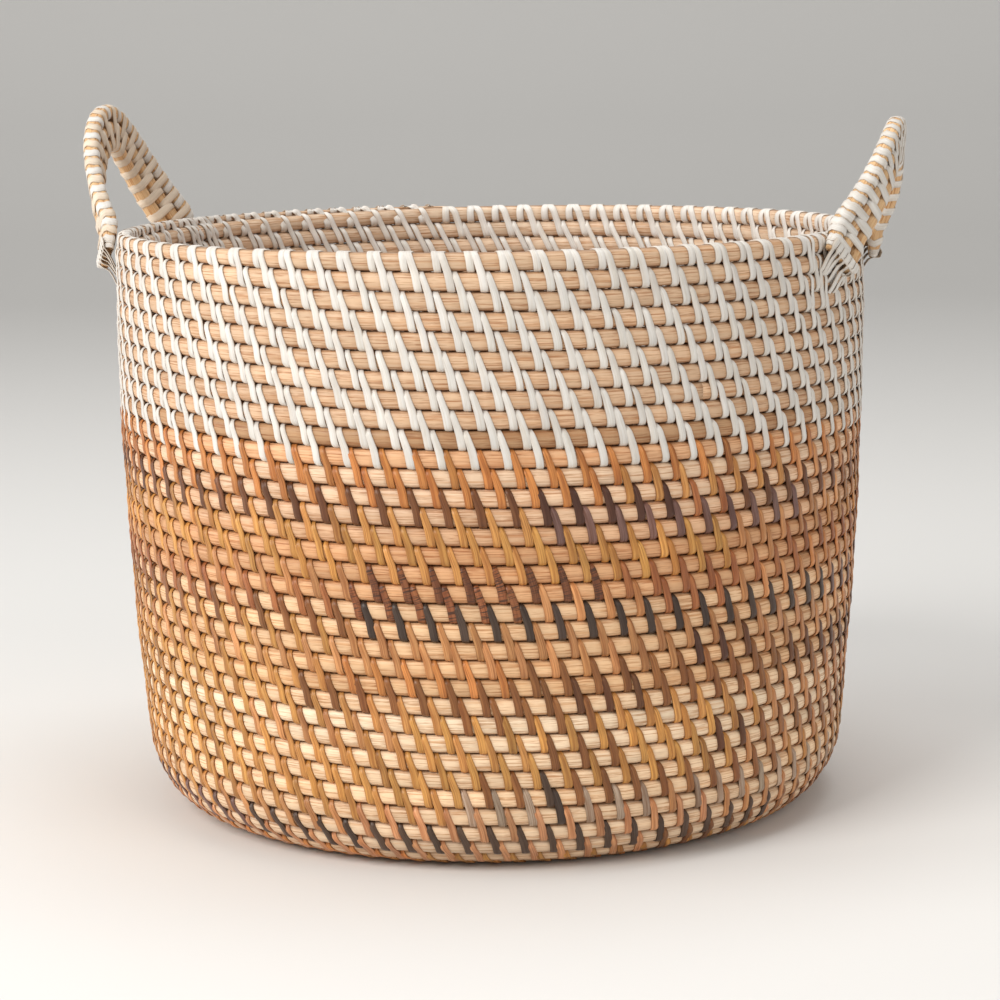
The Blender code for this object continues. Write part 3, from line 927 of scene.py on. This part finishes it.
def wrap_paths(strap, kind, places, front_run, back_run):
    """Loops of strip round one or two canes of a handle, with both ends in a seam between canes."""
    stations = [(cane, np.radians(angle)) for cane, angles in CANE_OF_WRAP[kind] for angle in angles]
    theta = np.array([angle for _, angle in stations])
    which = np.array([cane for cane, _ in stations])
    turned = np.abs(theta)
    # the strip leans one way over the front face and comes back across the rear one
    reach = np.where(turned < np.pi / 2, theta * np.sign(theta[-1]), 0)
    front = np.clip(reach / (np.pi / 2), -1, 1)
    back = np.clip((turned - np.pi / 2) / (np.pi / 2), 0, 2)
    s = places[:, None] + (front_run * (front - 1) / 2 + back_run * back / 2)[None]
    canes, across, face, share = strap.frame(s)
    radius = HANDLE_CANE / 2 * share * HANDLE_FIT["wrap"]
    centre = np.choose(which[None, :, None], canes)
    place, out = section(theta)
    offset = across * place[1][None, :, None] + face * place[0][None, :, None]
    direction = across * out[1][None, :, None] + face * out[0][None, :, None]
    return centre + offset * radius[..., None], direction


def make_handle(side_name, side, cane, bleach):
    """Canes, binding and feet of one handle."""
    strap = Strap(HANDLE_RISES[side_name], side)
    make_handle_canes(side_name, strap, cane)
    make_handle_wraps(side_name, strap, bleach)
    make_feet(side_name, side, strap, bleach)


def make_handle_canes(side_name, strap, cane):
    fine = np.linspace(0, strap.length, 150)
    canes, across, face, share = strap.frame(fine)
    half = HANDLE_CANE / 2 * share * HANDLE_FIT["cane"]
    for index, cane_name in enumerate(("outer", "middle", "inner")):
        tones = even_tints(len(fine), HANDLE_TONE * (1 + 0.05 * np.sin(fine * 70 + index * 2))[:, None])
        piece = make_tube(f"handle_{side_name}_{cane_name}_core", canes[index], face, across, half, half,
                          CANE_SIDES, tones, cane)
        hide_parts(f"handle_{side_name}_{cane_name}_cane")


def make_handle_wraps(side_name, strap, bleach):
    places = np.arange(FOOT_LENGTH * 0.45, strap.length - FOOT_LENGTH * 0.75, WRAP_PITCH)
    for kind, start in (("short", 0.0), ("long", WRAP_PITCH / 2), ("inner", WRAP_PITCH * 0.80)):
        path, normal = wrap_paths(strap, kind, places + start, *WRAP_RUNS)
        # painted shade on the left handle's long and inner wraps
        shade = SHADED_BOUNCE_WHITE if side_name == "left" and kind != "short" else PEEL["white"]
        tints = varied_tints(len(places), shade, 0.02)
        width = HANDLE_WIDTHS[kind] * MM
        piece = make_strips(f"handle_{side_name}_{kind}_wraps", path, normal, width, STRIP, tints, bleach)
        if kind == "short":
            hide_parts(f"handle_{side_name}_binding")


def make_feet(side_name, side, strap, bleach):
    """A short collar of strips round each foot, and ties from it into the wall."""
    collar = COLLAR * FOOT_LENGTH
    for end_name, low in (("front", 0.0), ("back", strap.length - collar)):
        spots = low + collar * (np.arange(COLLAR_STRIPS) + 0.5) / COLLAR_STRIPS
        path, normal = lashing_paths(strap, spots)
        tints = varied_tints(COLLAR_STRIPS, PEEL["white"], 0.02)
        width = LASHING_WIDTH * MM
        piece = make_strips(f"foot_{side_name}_{end_name}_lashing", path, normal, width, STRIP, tints, bleach)
        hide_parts(f"foot_lashing_{side_name}_{end_name}")
        path, normal = tie_paths(strap, side, end_name == "front")
        tints = varied_tints(TIES, PEEL["white"], 0.03)
        width = TIE_WIDTH * MM
        piece = make_strips(f"foot_{side_name}_{end_name}_ties", path, normal, width, STRIP, tints, bleach)


def tie_paths(strap, side, at_start):
    """Strips from the face of a foot, over the ends of its canes and down between the coils."""
    turn = np.array([side, side, 1.0])
    back = np.array([4.5, 3.0, 1.8, 0.6]) * MM
    canes, _, face, taper = strap.frame(back if at_start else strap.length - back)
    outer, middle, inner = canes
    # across the foot and a little past its edges
    k = np.linspace(1.15, -1.15, TIES)[:, None, None]
    centre = np.where(k > 0, middle + k * (outer - middle), middle + k * (middle - inner))
    on_strap = centre + face * (HANDLE_CANE / 2 * taper + 1.4 * STRIP)[:, None]
    tip = centre[:, -1] * turn
    azimuth = np.arctan2(tip[:, 1], tip[:, 0])[:, None]
    reach = rng.uniform(0.6, 1.0, (TIES, 1))
    slant = rng.uniform(-0.1, 0.25, (TIES, 1))
    # drawn tight, a strip spans the corner between the foot and the wall
    drop = np.array([1.6, 4.6, 8.2, 11.8, 14.6]) * MM * reach
    lift = np.array([5.0, 3.3, 1.7, 0.4, -1.3]) * MM
    away = azimuth + np.sign(azimuth) * slant * drop / HANDLE_RADIUS
    height = np.minimum(tip[:, 2:] - drop, HEIGHT - 3 * MM)
    on_wall = vectors(away, wall_radius(height) + lift, height) * turn
    outward = vectors(away, np.ones_like(away), np.zeros_like(away)) * turn
    path = np.concatenate([on_strap, on_wall], axis=1)
    normal = np.concatenate([np.broadcast_to(face, on_strap.shape), outward], axis=1)
    return rounded(path), rounded(normal)


def rounded(path, times=3):
    """Paths with their corners cut off a few times."""
    for _ in range(times):
        near = 0.75 * path[:, :-1] + 0.25 * path[:, 1:]
        far = 0.25 * path[:, :-1] + 0.75 * path[:, 1:]
        middle = np.stack([near, far], axis=2).reshape(len(path), -1, 3)
        path = np.concatenate([path[:, :1], middle, path[:, -1:]], axis=1)
    return path


def lashing_paths(strap, places):
    """Strips over all three canes of a foot, with both ends going into the wall."""
    theta = np.radians([150, 110, 75, 40, 8, 0, -8, -40, -75, -110, -150])
    which = np.array([0, 0, 0, 0, 0, 1, 2, 2, 2, 2, 2])
    lean = np.linspace(-2.2, 2.2, len(theta)) * MM
    end = 0.2 * MM
    s = np.clip(places[:, None] + lean[None], end, strap.length - end)
    canes, across, face, share = strap.frame(s)
    radius = HANDLE_CANE / 2 * share * HANDLE_FIT["lashing"]
    centre = np.choose(which[None, :, None], canes)
    direction = across * np.sin(theta)[None, :, None] + face * np.cos(theta)[None, :, None]
    return centre + direction * radius[..., None], direction


# ---- stage

def make_floor():
    """A pale floor that curves up far behind the basket."""
    depth = np.array([-4.0, 3.0, 3.6, 4.1, 4.4, 4.5, 4.5])
    height = np.array([0.0, 0.0, 0.06, 0.25, 0.6, 1.1, 5.0])
    rows = len(depth)
    points = [(x, y, z) for y, z in zip(depth, height) for x in (-6.0, 6.0)]
    faces = [(2 * i, 2 * i + 1, 2 * i + 3, 2 * i + 2) for i in range(rows - 1)]
    mesh = bpy.data.meshes.new("floor")
    mesh.from_pydata(points, [], faces)
    mesh.polygons.foreach_set("use_smooth", np.ones(len(faces), bool))
    floor = bpy.data.objects.new("floor", mesh)
    bpy.context.scene.collection.objects.link(floor)
    floor.rotation_euler.z = CAMERA_TURN
    material, _, shader = start_material("floor", 0.9, 0.2)
    shader.inputs["Base Color"].default_value = (0.80, 0.79, 0.77, 1.0)
    mesh.materials.append(material)


def add_light(name, place, size, watts, colour):
    """A square lamp that faces the basket."""
    data = bpy.data.lights.new(name, "AREA")
    data.size = size
    data.energy = watts
    data.color = colour
    light = bpy.data.objects.new(name, data)
    light.location = place
    light.rotation_euler = (Vector(LIT_POINT) - Vector(place)).to_track_quat("-Z", "Y").to_euler()
    bpy.context.scene.collection.objects.link(light)


def make_lights():
    """A soft studio: four lamps and an even sky."""
    for name, light in LIGHTS.items():
        add_light(name, *light)
    world = bpy.data.worlds.new("studio")
    world.use_nodes = True
    background = world.node_tree.nodes["Background"]
    background.inputs["Color"].default_value = SKY_COLOUR
    background.inputs["Strength"].default_value = SKY_STRENGTH
    bpy.context.scene.world = world
    bpy.context.scene.view_settings.view_transform = "Standard"


def make_camera():
    """The camera, turned round the basket's axis and aimed by the fitted angles."""
    yaw, pitch, roll = CAMERA_YAW, CAMERA_PITCH, CAMERA_ROLL
    level = Vector((np.cos(yaw), -np.sin(yaw), 0))
    ahead = Vector((np.sin(yaw), np.cos(yaw), 0))
    up = Vector((0, 0, 1))
    forward = np.cos(pitch) * ahead - np.sin(pitch) * up
    raised = np.sin(pitch) * ahead + np.cos(pitch) * up
    right = np.cos(roll) * level - np.sin(roll) * raised
    top = np.sin(roll) * level + np.cos(roll) * raised
    place = Vector((0, -CAMERA_DISTANCE * RIM_RADIUS, CAMERA_HEIGHT * RIM_RADIUS + HEIGHT))
    turn = Matrix.Rotation(CAMERA_TURN, 4, "Z")
    axes = Matrix((right, top, -forward)).transposed().to_4x4()
    data = bpy.data.cameras.new("camera")
    data.sensor_width = 36.0
    data.lens = CAMERA_LENS
    data.clip_end = 50.0
    camera = bpy.data.objects.new("camera", data)
    camera.matrix_world = turn @ Matrix.Translation(place) @ axes
    bpy.context.scene.collection.objects.link(camera)
    bpy.context.scene.camera = camera


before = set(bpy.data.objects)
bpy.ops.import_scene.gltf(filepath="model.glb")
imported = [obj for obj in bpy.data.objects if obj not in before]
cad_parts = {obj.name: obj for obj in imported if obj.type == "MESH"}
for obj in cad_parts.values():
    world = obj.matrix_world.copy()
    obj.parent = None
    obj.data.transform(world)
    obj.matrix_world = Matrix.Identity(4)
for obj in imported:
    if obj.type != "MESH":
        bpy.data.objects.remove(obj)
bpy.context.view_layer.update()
make_camera()
make_floor()
make_lights()
cane_look = cane_material("rattan_core")
peel_look = peel_material("rattan_peel", 0.36, 0.80, (0.52, 0.38, 0.27, 1.0))
bleached_look = peel_material("bleached_peel", 0.44, 0.45, (0.82, 0.75, 0.66, 1.0))
make_cores(cane_look)
make_knot(cane_look, peel_look)
make_stitches(peel_look, bleached_look)
for handle_name, handle_side in (("right", 1), ("left", -1)):
    make_handle(handle_name, handle_side, cane_look, bleached_look)
